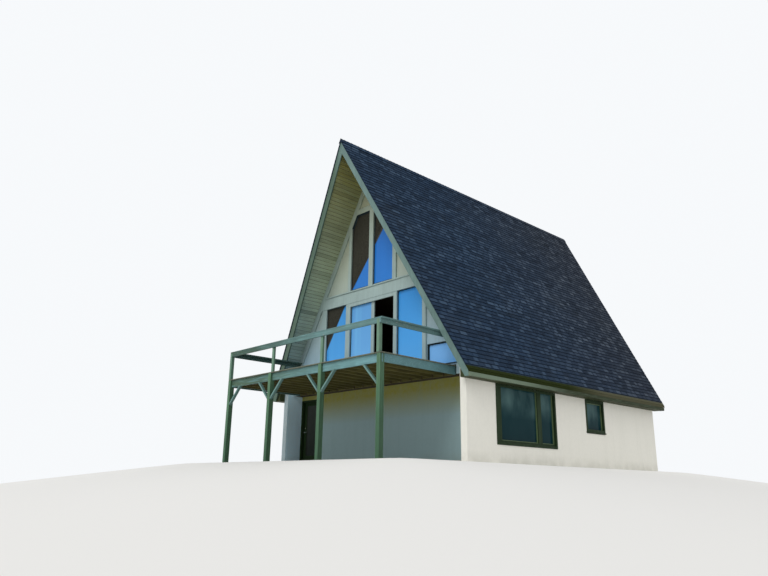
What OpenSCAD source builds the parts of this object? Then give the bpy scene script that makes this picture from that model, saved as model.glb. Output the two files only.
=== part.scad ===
// A-frame cabin. X runs to the right seen from the front, Y runs back into the house, Z is up.
// The origin is on the ground, on the centreline, under the face of the front gable wall.

/* [Roof] */
// Height of the ridge above the lowest ground
ridge_h = 9850; // [9800:10:9900]
// Half the width over the eaves
eave_half = 4257; // [4247:1:4267]
// Height of the roof surface at the eave
eave_h = 2244; // [2230:1:2260]
// How far the ridge reaches in front of the gable wall
front_reach_top = 1411; // [1300:1:1500]
// How far the eave reaches in front of the gable wall
front_reach_low = 528; // [500:1:560]
// Where the ridge ends at the rear, from the front gable wall
rear_reach_top = 11310; // [11000:10:11500]
// Where the eave ends at the rear, from the front gable wall
rear_reach_low = 10073; // [10040:1:10100]
// Thickness of the shingle layer
shingle_t = 40; // [30:1:45]
// Depth of the whole roof, from the shingles to the soffit
roof_t = 150; // [140:1:160]
// Depth of the rake boards under the shingles
rake_d = 235; // [200:1:250]

/* [House] */
// Distance from the front gable wall to the rear wall's outer face
house_l = 9810; // [9700:10:9900]
// Distance from the centreline to a side wall's outer face
wall_x = 3927; // [3900:1:3940]
// Thickness of the ground storey's walls
wall_t = 200; // [180:1:220]
// Thickness of the gable walls
gable_t = 160; // [140:1:180]
// Set-back of the door wall behind the gable wall
door_wall_y = 330; // [300:1:360]
// Reach of the side walls in front of the gable wall
wing_y = 250; // [200:1:300]
// Top of the main floor
floor_z = 2500; // [2490:1:2510]
// Thickness of the main floor
floor_t = 260; // [240:1:270]
// Thickness of the ground slab
slab_t = 50; // [40:1:60]

/* [Deck] */
// Distance from the centreline to the right end of the deck
deck_half = 3413; // [3400:1:3420]
// Distance from the centreline to the left end of the deck
deck_l = 3440; // [3435:1:3450]
// Depth of the deck, from the gable wall to its front edge
deck_d = 2696; // [2680:1:2710]
// Top of the deck boards
deck_z = 2462; // [2450:1:2470]
// Underside of the rim
rim_z = 2222; // [2200:1:2235]
// Top of the rail cap
rail_z = 3314; // [3290:1:3320]
// Width of a deck post seen from the front
post_w = 125; // [110:1:140]
// Depth of a deck post seen from the side
post_d = 140; // [130:1:145]

/* [Openings] */
// Head of the windows beside the patio door
main_head = 4930; // [4920:1:4940]
// Top of the belt board, just under the upper windows
belt_top = 5325; // [5320:1:5340]
// Head of the upper windows
upper_head = 7850; // [7830:1:7860]
// Head of the patio door
patio_head = 4890; // [4880:1:4895]

/* [Hidden] */
$fn = 24;

slope = (ridge_h - eave_h) / eave_half;
slant = slope / sqrt(1 + slope * slope);
inner_x = wall_x - wall_t;
trim_w = 190;
trim_t = 45;
deck_board_t = 28;
rim_top = deck_z - deck_board_t;
post_front = deck_d + 4;
post_back = post_front - post_d;
post_x = [-3370, -1210, 1080, 3320];
rail_x = [-3392.5, -1165, 1070, 3287.5];
door_l = -inner_x;
door_r = -2660;

// What stands under the roof ends this far below its soffit
under_t = roof_t + 1;

// Half the width of the roof at height z, on the surface d below the shingles
function roof_x(z, d) = eave_half - (z - eave_h) / slope - d / slant;
// Height of that surface at distance x from the centreline
function roof_z(x, d) = eave_h + slope * (eave_half - x - d / slant);
// The leaning planes of the front and rear rakes at height z
function lean(z) = (z - eave_h) / (ridge_h - eave_h);
function front_y(z, f) = -front_reach_low - (front_reach_top - front_reach_low) * lean(z) + f;
function rear_y(z, r) = rear_reach_low + (rear_reach_top - rear_reach_low) * lean(z) - r;

module block(x0, x1, y0, y1, z0, z1) {
    translate([x0, y0, z0]) cube([x1 - x0, y1 - y0, z1 - z0]);
}

// A profile in X and Z, drawn out along Y
module along(y0, y1) {
    translate([0, y1, 0]) rotate([90, 0, 0]) linear_extrude(y1 - y0) children();
}

// A profile in Y and Z, drawn out along X
module across(x0, x1) {
    translate([x0, 0, 0]) rotate([90, 0, 90]) linear_extrude(x1 - x0) children();
}

// Everything between the two rakes, f behind the front one and r before the rear one
module between_rakes(f, r) {
    across(-6000, 6000) polygon([[front_y(0, f), 0], [rear_y(0, r), 0],
        [rear_y(10500, r), 10500], [front_y(10500, f), 10500]]);
}

// Right slope of a roof layer, from d0 to d1 below the shingles, cut plumb at x1 and level at z1
module slope_layer(d0, d1, x1, z1, f) {
    intersection() {
        along(-2000, 12000) polygon([[0, roof_z(0, d0)], [x1, roof_z(x1, d0)], [x1, z1],
            [roof_x(z1, d1), z1], [0, roof_z(0, d1)]]);
        between_rakes(f, f);
    }
}

// Both rake boards of one end as a chevron profile
module rake_profile() {
    polygon([[-eave_half + 40, 2058], [-eave_half + 40, roof_z(eave_half - 40, shingle_t)],
        [0, roof_z(0, shingle_t)],
        [eave_half - 40, roof_z(eave_half - 40, shingle_t)], [eave_half - 40, 2058],
        [roof_x(2058, rake_d), 2058], [0, roof_z(0, rake_d)], [-roof_x(2058, rake_d), 2058]]);
}

// A band across the gable between the rake trims
module trim_band(z0, z1, d) {
    polygon([[-roof_x(z0, d), z0], [roof_x(z0, d), z0], [roof_x(z1, d), z1], [-roof_x(z1, d), z1]]);
}

// Five-sided light of an upper window, grown by g on every side
module upper_light(g) {
    polygon([[105 - g, 5371 - g], [960 + g, 5371 - g], [960 + g, 7380 + g / 2],
        [705 + g * 0.6, upper_head + g], [105 - g, upper_head + g]]);
}

// Low window at the right, under the slope of the roof, grown by g
module low_light(g) {
    polygon([[2422 - g, 2560 - g], [3520 + g, 2560 - g], [3520 + g, 2765 + g / 2],
        [3296 + g * 0.6, 3140 + g], [2422 - g, 3140 + g]]);
}

module floor_slab() {
    color("silver") block(-inner_x, inner_x, -wing_y, house_l - wall_t, 0, slab_t);
}

module side_wall() {
    along(-wing_y, house_l) polygon([[inner_x, 0], [wall_x, 0], [wall_x, roof_z(wall_x, under_t)],
        [inner_x, roof_z(inner_x, under_t)]]);
}

module left_wall() {
    color("ivory") mirror([1, 0, 0]) side_wall();
}

module right_wall() {
    color("ivory") difference() {
        side_wall();
        block(inner_x - 10, wall_x + 10, 950, 3730, 480, 2057);
        block(inner_x - 10, wall_x + 10, 5370, 6450, 1033, 2057);
    }
}

module rear_wall() {
    color("ivory") block(-inner_x, inner_x, house_l - wall_t, house_l, 0, floor_z);
}

module front_wall() {
    color("ivory") block(door_r, inner_x, door_wall_y, door_wall_y + gable_t, slab_t, floor_z - floor_t);
}

module door_head_wall() {
    color("ivory") block(door_l, door_r, door_wall_y, door_wall_y + gable_t, 2110, floor_z - floor_t);
}

module door_frame() {
    color("darkolivegreen") difference() {
        block(door_l, door_r, door_wall_y, door_wall_y + gable_t, slab_t, 2110);
        block(door_l + 45, door_r - 45, door_wall_y + 95, door_wall_y + gable_t + 1, slab_t + 30, 2075);
        block(door_l + 60, door_r - 60, door_wall_y - 1, door_wall_y + 96, slab_t + 30, 2060);
    }
}

module ground_door() {
    color("darkolivegreen") difference() {
        block(door_l + 54, door_r - 50, door_wall_y + 105, door_wall_y + 150, slab_t + 36, 2069);
        block(door_l + 162, door_r - 162, door_wall_y + 100, door_wall_y + 160, slab_t + 260, 1950);
    }
}

module ground_door_glass() {
    color("slategray", 0.5) block(door_l + 162, door_r - 162, door_wall_y + 122, door_wall_y + 132,
        slab_t + 260, 1950);
}

// Rose and handle on one face of the door, standing out along Y
module lever() {
    rotate([-90, 0, 0]) cylinder(d = 50, h = 8);
    rotate([-90, 0, 0]) cylinder(d = 20, h = 45);
    translate([-9, 36, -9]) cube([125, 18, 18]);
}

// Hinge with its plate on the inner face of the leaf and its barrel on the door's axis
module hinge(z) {
    translate([door_r - 51, door_wall_y + 173, z]) cylinder(d = 16, h = 90);
    block(door_r - 57, door_r - 51, door_wall_y + 150, door_wall_y + 173, z, z + 90);
    block(door_r - 110, door_r - 51, door_wall_y + 150, door_wall_y + 154, z, z + 90);
}

module door_hardware() {
    color("silver") {
        translate([door_l + 108, door_wall_y + 150, 1080]) lever();
        translate([door_l + 108, door_wall_y + 105, 1080]) mirror([0, 1, 0]) lever();
        for (z = [220, 1020, 1820])
            hinge(z);
    }
}

module side_window_frame() {
    color("darkolivegreen") difference() {
        block(inner_x + 40, wall_x - 20, 950, 3730, 480, 2057);
        block(inner_x, wall_x, 1200, 2845, 600, 2032);
        block(inner_x, wall_x, 3030, 3640, 600, 2032);
    }
}

module side_window_glass() {
    color("lightsteelblue", 0.5) {
        block(wall_x - 90, wall_x - 80, 1200, 2845, 600, 2032);
        block(wall_x - 90, wall_x - 80, 3030, 3640, 600, 2032);
    }
}

module small_window_frame() {
    color("darkolivegreen") {
        difference() {
            block(inner_x + 40, wall_x - 20, 5370, 6450, 1033, 2057);
            block(inner_x, wall_x, 5470, 6375, 1123, 1960);
        }
        block(wall_x - 20, wall_x, 5370, 6450, 1050, 1085);
        block(wall_x, wall_x + 30, 5346, 6474, 1050, 1085);
    }
}

module small_window_glass() {
    color("lightsteelblue", 0.5) block(wall_x - 90, wall_x - 80, 5470, 6375, 1123, 1960);
}

module main_floor() {
    color("burlywood") block(-inner_x, inner_x, 0, house_l - wall_t, floor_z - floor_t, floor_z);
}

module loft_floor() {
    color("burlywood") along(gable_t, house_l - gable_t) polygon([[-roof_x(5000, under_t), 5000],
        [roof_x(5000, under_t), 5000], [roof_x(5250, under_t), 5250], [-roof_x(5250, under_t), 5250]]);
}

module right_roof() {
    color("beige") slope_layer(shingle_t, roof_t, eave_half - 40, 2075, 55);
}

module left_roof() {
    color("beige") mirror([1, 0, 0]) slope_layer(shingle_t, roof_t, eave_half - 40, 2075, 55);
}

module shingle_layer() {
    intersection() {
        along(-2000, 12000) polygon([[0, roof_z(0, 0)], [eave_half, eave_h],
            [eave_half, roof_z(eave_half, shingle_t - 0.5)], [0, roof_z(0, shingle_t - 0.5)]]);
        between_rakes(0, 0);
    }
}

module right_shingles() {
    color("darkslategray") shingle_layer();
}

module left_shingles() {
    color("darkslategray") mirror([1, 0, 0]) shingle_layer();
}

module ridge_cap() {
    color("darkslategray") intersection() {
        along(-2000, 12000) polygon([[0, roof_z(0, -12)], [80, roof_z(80, -12)], [80, roof_z(80, -1)],
            [0, roof_z(0, -1)], [-80, roof_z(80, -1)], [-80, roof_z(80, -12)]]);
        between_rakes(0, 0);
    }
}

module front_rake_boards() {
    color("darkseagreen") intersection() {
        along(-2000, 0) rake_profile();
        across(-6000, 6000) polygon([[front_y(0, 15), 0], [front_y(0, 55), 0],
            [front_y(10500, 55), 10500], [front_y(10500, 15), 10500]]);
    }
}

module rear_rake_boards() {
    color("darkseagreen") intersection() {
        along(9000, 12000) rake_profile();
        across(-6000, 6000) polygon([[rear_y(0, 55), 0], [rear_y(0, 15), 0],
            [rear_y(10500, 15), 10500], [rear_y(10500, 55), 10500]]);
    }
}

module eave_boards() {
    color("darkseagreen") for (m = [0, 1]) mirror([m, 0, 0]) intersection() {
        block(eave_half - 40, eave_half, -2000, 12000, 2058, 2158);
        between_rakes(15, 15);
    }
}

// Boards that close the end of a boxed eave between its soffit and the roof
module eave_end(y0, y1, a, b) {
    along(y0, y1) polygon([[wall_x, 2060], [roof_x(2075, under_t), 2060], [roof_x(2075, under_t), 2075],
        [wall_x, roof_z(wall_x, under_t)]]);
    along(a, b) polygon([[wall_x - 15, 2060], [wall_x, 2060], [wall_x, roof_z(wall_x, under_t)],
        [wall_x - 15, roof_z(wall_x - 15, under_t)]]);
}

module eave_soffits() {
    color("beige") for (m = [0, 1]) mirror([m, 0, 0]) {
        block(wall_x, eave_half - 40, 83 - front_reach_low, rear_reach_low - 90, 2060, 2075);
        eave_end(83 - front_reach_low, 98 - front_reach_low, 83 - front_reach_low, -wing_y);
        eave_end(rear_reach_low - 105, rear_reach_low - 90, house_l, rear_reach_low - 90);
    }
}

// The part of a gable wall that the side walls and the roof leave open
module gable_profile() {
    polygon([[-inner_x, floor_z], [inner_x, floor_z], [inner_x, roof_z(inner_x, under_t)],
        [0, roof_z(0, under_t)], [-inner_x, roof_z(inner_x, under_t)]]);
}

module front_gable() {
    color("beige") difference() {
        along(0, gable_t) gable_profile();
        block(-1000, 1062, -10, gable_t + 10, floor_z - 10, patio_head + 20);
        block(-2141, -1115, -10, gable_t + 10, 2560, main_head + 20);
        block(1150, 2212, -10, gable_t + 10, 2560, main_head + 20);
        for (m = [0, 1]) mirror([m, 0, 0])
            along(-10, gable_t + 10) upper_light(20);
        along(-10, gable_t + 10) low_light(20);
    }
}

module rear_gable() {
    color("beige") along(house_l - gable_t, house_l) gable_profile();
}

// Boards along the two rakes and across the gable at the loft floor
module gable_band() {
    polygon([[-inner_x, floor_z], [-inner_x, roof_z(inner_x, under_t)], [0, roof_z(0, under_t)],
        [inner_x, roof_z(inner_x, under_t)], [inner_x, floor_z],
        [roof_x(floor_z, roof_t + trim_w), floor_z], [0, roof_z(0, roof_t + trim_w)],
        [-roof_x(floor_z, roof_t + trim_w), floor_z]]);
    trim_band(main_head, belt_top, roof_t + trim_w - 40);
}

// Upright board from x0 to x1 beside an opening, from z0 up to z1
module upright(x0, x1, z0, z1) {
    translate([x0, z0]) square([x1 - x0, z1 - z0]);
}

module gable_trim() {
    color("honeydew") {
        along(-trim_t, 0) {
            gable_band();
            trim_band(upper_head + 20, 8040, roof_t + trim_w - 40);
            upright(-85, 100, belt_top, upper_head + 30);
            upright(-915, 1050, patio_head - 75, main_head);
            upright(-1115, -915, floor_z, main_head);
            upright(1050, 1186, floor_z, main_head);
            upright(-2313, -2095, floor_z, main_head);
            upright(2212, 2350, floor_z, main_head);
            polygon([[980, belt_top], [1136, belt_top], [1136, roof_z(1136, roof_t + trim_w - 40)],
                [980, roof_z(980, roof_t + trim_w - 40)]]);
            polygon([[-930, belt_top], [-1060, belt_top], [-1060, roof_z(1060, roof_t + trim_w - 40)],
                [-930, roof_z(930, roof_t + trim_w - 40)]]);
            for (m = [0, 1]) mirror([m, 0])
                upright(deck_l + 2, inner_x, floor_z - floor_t, floor_z + 8);
        }
        along(-trim_t - 10, -trim_t) trim_band(main_head, main_head + 178, roof_t + trim_w + 3);
        along(-trim_t - 30, -trim_t) trim_band(belt_top - 32, belt_top, roof_t + trim_w + 3);
        along(house_l, house_l + trim_t) gable_band();
    }
}

module upper_window_frame() {
    color("darkolivegreen") for (m = [0, 1]) mirror([m, 0, 0]) difference() {
        along(10, 70) upper_light(20);
        along(0, 80) upper_light(0);
    }
}

module upper_window_glass() {
    color("lightsteelblue", 0.5) for (m = [0, 1]) mirror([m, 0, 0]) along(30, 40) upper_light(0);
}

module front_window_frame() {
    color("darkolivegreen") {
        difference() {
            block(-2141, -1115, 10, 70, 2560, main_head + 20);
            block(-2121, -1135, 0, 80, 2600, main_head);
        }
        difference() {
            block(1150, 2212, 10, 70, 2560, main_head + 20);
            block(1190, 2165, 0, 80, 2600, main_head);
        }
        difference() {
            along(10, 70) low_light(20);
            along(0, 80) low_light(0);
        }
    }
}

module front_window_glass() {
    color("lightsteelblue", 0.5) {
        block(-2121, -1135, 30, 40, 2600, main_head);
        block(1190, 2165, 30, 40, 2600, main_head);
        along(30, 40) low_light(0);
    }
}

module patio_door_frame() {
    color("honeydew") difference() {
        block(-1000, 1062, 5, 135, floor_z, patio_head + 20);
        block(-980, 1042, -5, 145, floor_z + 35, patio_head);
    }
}

// One door panel of stiles and rails around a light from g0 to g1
module door_panel(x0, x1, g0, g1, y0, y1) {
    difference() {
        block(x0, x1, y0, y1, floor_z + 35, patio_head);
        block(g0, g1, y0 - 1, y1 + 1, floor_z + 185, patio_head - 50);
    }
}

module fixed_door_panel() {
    color("honeydew") door_panel(-980, 150, -945, 32, 15, 55);
}

module sliding_door_panel() {
    color("honeydew") door_panel(-980, 45, -900, -50, 65, 105);
}

module patio_door_glass() {
    color("lightsteelblue", 0.5) {
        block(-945, 32, 27, 37, floor_z + 185, patio_head - 50);
        block(-900, -50, 80, 90, floor_z + 185, patio_head - 50);
    }
}

module deck_joists() {
    color("sienna") {
        block(-3350, 3350, -40, 0, rim_z, rim_top);
        for (x = [-3010:400:2990])
            block(x - 22, x + 22, -2600, -40, rim_z, rim_top);
    }
}

module deck_rim() {
    color("darkseagreen") {
        block(-3400, 3382, -2640, -2600, rim_z, rim_top);
        for (m = [0, 1]) mirror([m, 0, 0])
            block(3350, 3390, -post_back, 0, rim_z, rim_top);
    }
}

module deck_boards() {
    color("sienna") block(-deck_l, deck_half, -deck_d, 0, rim_top, deck_z);
}

module deck_posts() {
    color("seagreen") for (x = post_x) difference() {
        block(x - post_w / 2, x + post_w / 2, -post_front, -post_back, 0, rim_top);
        block(x - post_w, x + post_w, -2640, -2600, rim_z, rim_top + 1);
    }
}

// Slanting brace that starts at a post's right side and ends under the rim
module brace() {
    along(-post_front + 10, -post_front + 95) polygon([[0, 1688], [534, rim_z], [466, rim_z], [0, 1756]]);
}

module knee_braces() {
    color("darkseagreen") {
        for (i = [0:2]) translate([post_x[i] + post_w / 2, 0, 0]) brace();
        for (i = [1:3]) translate([post_x[i] - post_w / 2, 0, 0]) mirror([1, 0, 0]) brace();
    }
}

module rail_posts() {
    color("seagreen") {
        for (x = [rail_x[1], rail_x[2]])
            block(x - 47.5, x + 47.5, -2656, -2596, deck_z, rail_z - 40);
        for (x = [rail_x[0], rail_x[3]])
            block(x - 47.5, x + 47.5, -deck_d, -2598, deck_z, rail_z - 40);
    }
}

// Room that the rails leave round the rake boards, where they reach the gable
module rake_notch() {
    for (m = [0, 1]) mirror([m, 0, 0]) intersection() {
        along(-3000, 500) polygon([[roof_x(3000, rake_d + 10), 3000], [5000, 3000],
            [5000, 3500], [roof_x(3500, rake_d + 10), 3500]]);
        between_rakes(5, 0);
    }
}

module rail_boards() {
    color("darkseagreen") difference() {
        union() {
            block(rail_x[0] + 47.5, rail_x[3] - 47.5, -deck_d, -deck_d + 40, rail_z - 152, rail_z - 40);
            block(-deck_l, -deck_l + 40, -2598, -trim_t, rail_z - 152, rail_z - 40);
            block(rail_x[3] + 47.5, rail_x[3] + 87.5, -deck_d, -trim_t, rail_z - 152, rail_z - 40);
        }
        rake_notch();
    }
}

module rail_caps() {
    color("darkseagreen") difference() {
        union() {
            block(-deck_l, deck_half, -deck_d, -deck_d + 140, rail_z - 40, rail_z);
            block(-deck_l, -deck_l + 140, -deck_d, -trim_t, rail_z - 40, rail_z);
            block(deck_half - 140, deck_half, -deck_d, -trim_t, rail_z - 40, rail_z);
        }
        rake_notch();
    }
}

floor_slab();
left_wall();
right_wall();
rear_wall();
front_wall();
door_head_wall();
door_frame();
ground_door();
ground_door_glass();
door_hardware();
side_window_frame();
side_window_glass();
small_window_frame();
small_window_glass();
main_floor();
loft_floor();
left_roof();
right_roof();
left_shingles();
right_shingles();
ridge_cap();
front_rake_boards();
rear_rake_boards();
eave_boards();
eave_soffits();
front_gable();
rear_gable();
gable_trim();
upper_window_frame();
upper_window_glass();
front_window_frame();
front_window_glass();
patio_door_frame();
fixed_door_panel();
sliding_door_panel();
patio_door_glass();
deck_joists();
deck_rim();
deck_boards();
deck_posts();
knee_braces();
rail_posts();
rail_boards();
rail_caps();
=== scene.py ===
import math

import bmesh
import bpy
import numpy as np
from mathutils import Matrix, Vector


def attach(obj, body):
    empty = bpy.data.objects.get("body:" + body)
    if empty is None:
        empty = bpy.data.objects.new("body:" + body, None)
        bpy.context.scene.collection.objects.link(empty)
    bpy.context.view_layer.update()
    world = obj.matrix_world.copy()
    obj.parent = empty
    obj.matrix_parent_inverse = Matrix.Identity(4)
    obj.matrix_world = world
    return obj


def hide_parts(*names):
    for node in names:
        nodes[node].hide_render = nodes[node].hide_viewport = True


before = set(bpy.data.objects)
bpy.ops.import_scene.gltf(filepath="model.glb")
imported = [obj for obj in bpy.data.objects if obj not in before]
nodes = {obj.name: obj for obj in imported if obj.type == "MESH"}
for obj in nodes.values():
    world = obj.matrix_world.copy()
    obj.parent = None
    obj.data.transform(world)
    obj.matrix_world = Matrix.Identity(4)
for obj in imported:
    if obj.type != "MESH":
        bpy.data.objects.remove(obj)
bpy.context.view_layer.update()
print("cabin: frame with", len(nodes), "nodes")

# Shared sizes of the house in metres, as in the part's source
house = {
    "ridge": 9.850, "eaveHalf": 4.257, "eaveTop": 2.244,  # outer plane of the roof
    "shingle": 0.040, "roof": 0.150,  # how deep under it the shingles and the slope end
    "length": 9.810, "wallX": 3.927, "floor": 2.50,
    "deckRight": 3.413, "deckLeft": 3.440, "deckDepth": 2.696, "deckTop": 2.462, "rimLow": 2.222,
}
slope = (house["ridge"] - house["eaveTop"]) / house["eaveHalf"]
cosA = 1 / math.sqrt(1 + slope * slope)  # of the roof's angle from level
sinA = slope * cosA
slopeLength = house["eaveHalf"] / cosA

# Both ends of the roof lean outwards: Y of an end at the eave, and how much further out it is at the ridge
prow = {"front": -0.528, "frontLean": 0.883, "rear": 10.073, "rearLean": 1.237}


def lean(z):  # 0 at the eave, 1 at the ridge
    return (z - house["eaveTop"]) / (house["ridge"] - house["eaveTop"])


def frontRake(z):
    return prow["front"] - prow["frontLean"] * lean(z)


def rearRake(z):
    return prow["rear"] + prow["rearLean"] * lean(z)


def roofX(z, depth):  # half the roof's width at a height, depth under its outer plane
    return house["eaveHalf"] - (z - house["eaveTop"]) / slope - depth / sinA


# Camera, solved from the photograph: place in metres, angles in radians, picture width in pixels
cameraAt = {"place": (14.8497, -13.3178, -0.5673), "yaw": 0.81956, "pitch": 0.28488, "roll": 0.0150,
            "focalPixels": 673.263, "pictureWidth": 768, "sensor": 36, "farthest": 400}


def makeCamera(c):
    # Level right, ahead and above from yaw and pitch, then right and up turned by the roll.
    cy, sy = math.cos(c["yaw"]), math.sin(c["yaw"])
    cp, sp = math.cos(c["pitch"]), math.sin(c["pitch"])
    cr, sr = math.cos(c["roll"]), math.sin(c["roll"])
    level = Vector((cy, sy, 0))
    ahead = Vector((-sy * cp, cy * cp, sp))
    above = Vector((sy * sp, -cy * sp, cp))
    right = level * cr + above * sr
    up = above * cr - level * sr
    data = bpy.data.cameras.new("viewer")
    data.sensor_width = c["sensor"]
    data.lens = c["focalPixels"] / c["pictureWidth"] * c["sensor"]
    data.clip_end = c["farthest"]
    cam = bpy.data.objects.new("viewer", data)
    bpy.context.collection.objects.link(cam)
    m = Matrix((right, up, -ahead)).transposed().to_4x4()
    m.translation = Vector(c["place"])
    cam.matrix_world = m
    bpy.context.scene.camera = cam


makeCamera(cameraAt)

# Light: an even pale sky and one wide soft lamp
studio = {"skyLevel": 0.73, "skyColor": (0.97, 0.98, 1.0, 1), "backdrop": (0.93, 0.95, 0.97, 1),
          "lampPower": 1.30, "lampWidth": 30, "lampFrom": (0.14, -0.74, 0.70)}


def makeLight(s):
    # The sky lights with one colour, and camera, glossy and transmission rays see the backdrop's.
    scene = bpy.context.scene
    scene.view_settings.view_transform = "Standard"
    world = bpy.data.worlds.new("studioSky")
    scene.world = world
    world.use_nodes = True
    t = world.node_tree
    t.nodes.clear()
    out = t.nodes.new("ShaderNodeOutputWorld")
    mix = t.nodes.new("ShaderNodeMixShader")
    seen = t.nodes.new("ShaderNodeBackground")
    lit = t.nodes.new("ShaderNodeBackground")
    path = t.nodes.new("ShaderNodeLightPath")
    lit.inputs["Color"].default_value = s["skyColor"]
    lit.inputs["Strength"].default_value = s["skyLevel"]
    seen.inputs["Color"].default_value = s["backdrop"]
    a = t.nodes.new("ShaderNodeMath")
    a.operation = "ADD"
    b = t.nodes.new("ShaderNodeMath")
    b.operation = "ADD"
    b.use_clamp = True
    t.links.new(path.outputs["Is Camera Ray"], a.inputs[0])
    t.links.new(path.outputs["Is Glossy Ray"], a.inputs[1])
    t.links.new(a.outputs[0], b.inputs[0])
    t.links.new(path.outputs["Is Transmission Ray"], b.inputs[1])
    t.links.new(b.outputs[0], mix.inputs[0])
    t.links.new(lit.outputs[0], mix.inputs[1])
    t.links.new(seen.outputs[0], mix.inputs[2])
    t.links.new(mix.outputs[0], out.inputs[0])
    lamp = bpy.data.lights.new("wideLamp", "SUN")
    lamp.energy = s["lampPower"]
    lamp.angle = math.radians(s["lampWidth"])
    obj = bpy.data.objects.new("wideLamp", lamp)
    obj.rotation_mode = "QUATERNION"
    obj.rotation_quaternion = Vector(s["lampFrom"]).to_track_quat("Z", "Y")
    bpy.context.collection.objects.link(obj)


makeLight(studio)


# Materials
def scaled(color, factor):  # a colour made lighter or darker, never past 1
    return tuple(min(1, c * factor) for c in color)


class Paint:
    # Small helper round one node tree. Every pattern reads Object coordinates in metres.

    def __init__(self, name, color, rough=0.6, metal=0.0, spec=0.4):
        self.mat = bpy.data.materials.new(name)
        self.mat.use_nodes = True
        self.tree = self.mat.node_tree
        self.shader = self.tree.nodes["Principled BSDF"]
        self.shader.inputs["Base Color"].default_value = (*color, 1)
        self.shader.inputs["Roughness"].default_value = rough
        self.shader.inputs["Metallic"].default_value = metal
        self.shader.inputs["Specular IOR Level"].default_value = spec
        self.mat.diffuse_color = (*color, 1)
        self.where = self.add("ShaderNodeTexCoord").outputs["Object"]

    def add(self, kind, **values):
        n = self.tree.nodes.new(kind)
        for k, v in values.items():
            setattr(n, k, v)
        return n

    def link(self, a, b):
        self.tree.links.new(a, b)

    def feed(self, socket, value):  # value is another node's output, a colour or a number
        if hasattr(value, "is_output"):
            self.link(value, socket)
        elif isinstance(value, (tuple, list)):
            socket.default_value = (*value, 1)
        else:
            socket.default_value = value

    def stretched(self, scale, turn=(0, 0, 0)):  # coordinates for a pattern that is long where scale is small
        m = self.add("ShaderNodeMapping")
        m.inputs["Scale"].default_value = scale
        m.inputs["Rotation"].default_value = turn
        self.link(self.where, m.inputs["Vector"])
        return m.outputs["Vector"]

    def noise(self, scale, detail=4, rough=0.55, vector=None, distortion=0.0):
        n = self.add("ShaderNodeTexNoise")
        n.inputs["Scale"].default_value = scale
        n.inputs["Detail"].default_value = detail
        n.inputs["Roughness"].default_value = rough
        n.inputs["Distortion"].default_value = distortion
        self.link(vector or self.where, n.inputs["Vector"])
        return n.outputs["Fac"]

    def ramp(self, fac, stops):  # stops are (place, colour or number)
        r = self.add("ShaderNodeValToRGB")
        r.color_ramp.interpolation = "LINEAR"
        while len(r.color_ramp.elements) < len(stops):
            r.color_ramp.elements.new(0.5)
        for e, (at, value) in zip(r.color_ramp.elements, stops):
            e.position = at
            e.color = (*value, 1) if isinstance(value, (tuple, list)) else (value, value, value, 1)
        self.link(fac, r.inputs["Fac"])
        return r.outputs["Color"]

    def mix(self, fac, a, b, how="MIX"):
        m = self.add("ShaderNodeMix", data_type="RGBA", blend_type=how)
        self.feed(m.inputs["Factor"], fac)
        self.feed(m.inputs["A"], a)
        self.feed(m.inputs["B"], b)
        return [o for o in m.outputs if o.type == "RGBA"][0]

    def math(self, how, a, b=0.0, clamp=False):
        m = self.add("ShaderNodeMath", operation=how, use_clamp=clamp)
        self.feed(m.inputs[0], a)
        self.feed(m.inputs[1], b)
        return m.outputs[0]

    def part(self, vector, name):
        s = self.add("ShaderNodeSeparateXYZ")
        self.link(vector, s.inputs[0])
        return s.outputs[name]

    def axis(self, name):
        return self.part(self.where, name)

    def along(self, name, start, end):  # (place on an axis - start) / (end - start), held between 0 and 1
        return self.math("DIVIDE", self.math("SUBTRACT", self.axis(name), start), end - start, clamp=True)

    def looking(self, name, sign):  # 1 where a surface looks straight along sign times an axis, 0 where away
        normal = self.add("ShaderNodeNewGeometry").outputs["Normal"]
        return self.math("MULTIPLY", self.part(normal, name), sign, clamp=True)

    def color(self, socket):
        self.link(socket, self.shader.inputs["Base Color"])

    def roughness(self, socket):
        self.link(socket, self.shader.inputs["Roughness"])

    def bump(self, height, strength, distance):
        b = self.add("ShaderNodeBump")
        b.inputs["Strength"].default_value = strength
        b.inputs["Distance"].default_value = distance
        self.link(height, b.inputs["Height"])
        self.link(b.outputs["Normal"], self.shader.inputs["Normal"])


wornWood = (0.34, 0.34, 0.30)  # bare wood where the paint has chipped
# Shine of a paint that names none: a dark one, whose colour is nowhere above the limit, shines less
paintShine = {"darkLimit": 0.1, "dark": 0.15, "light": 0.4}


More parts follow.
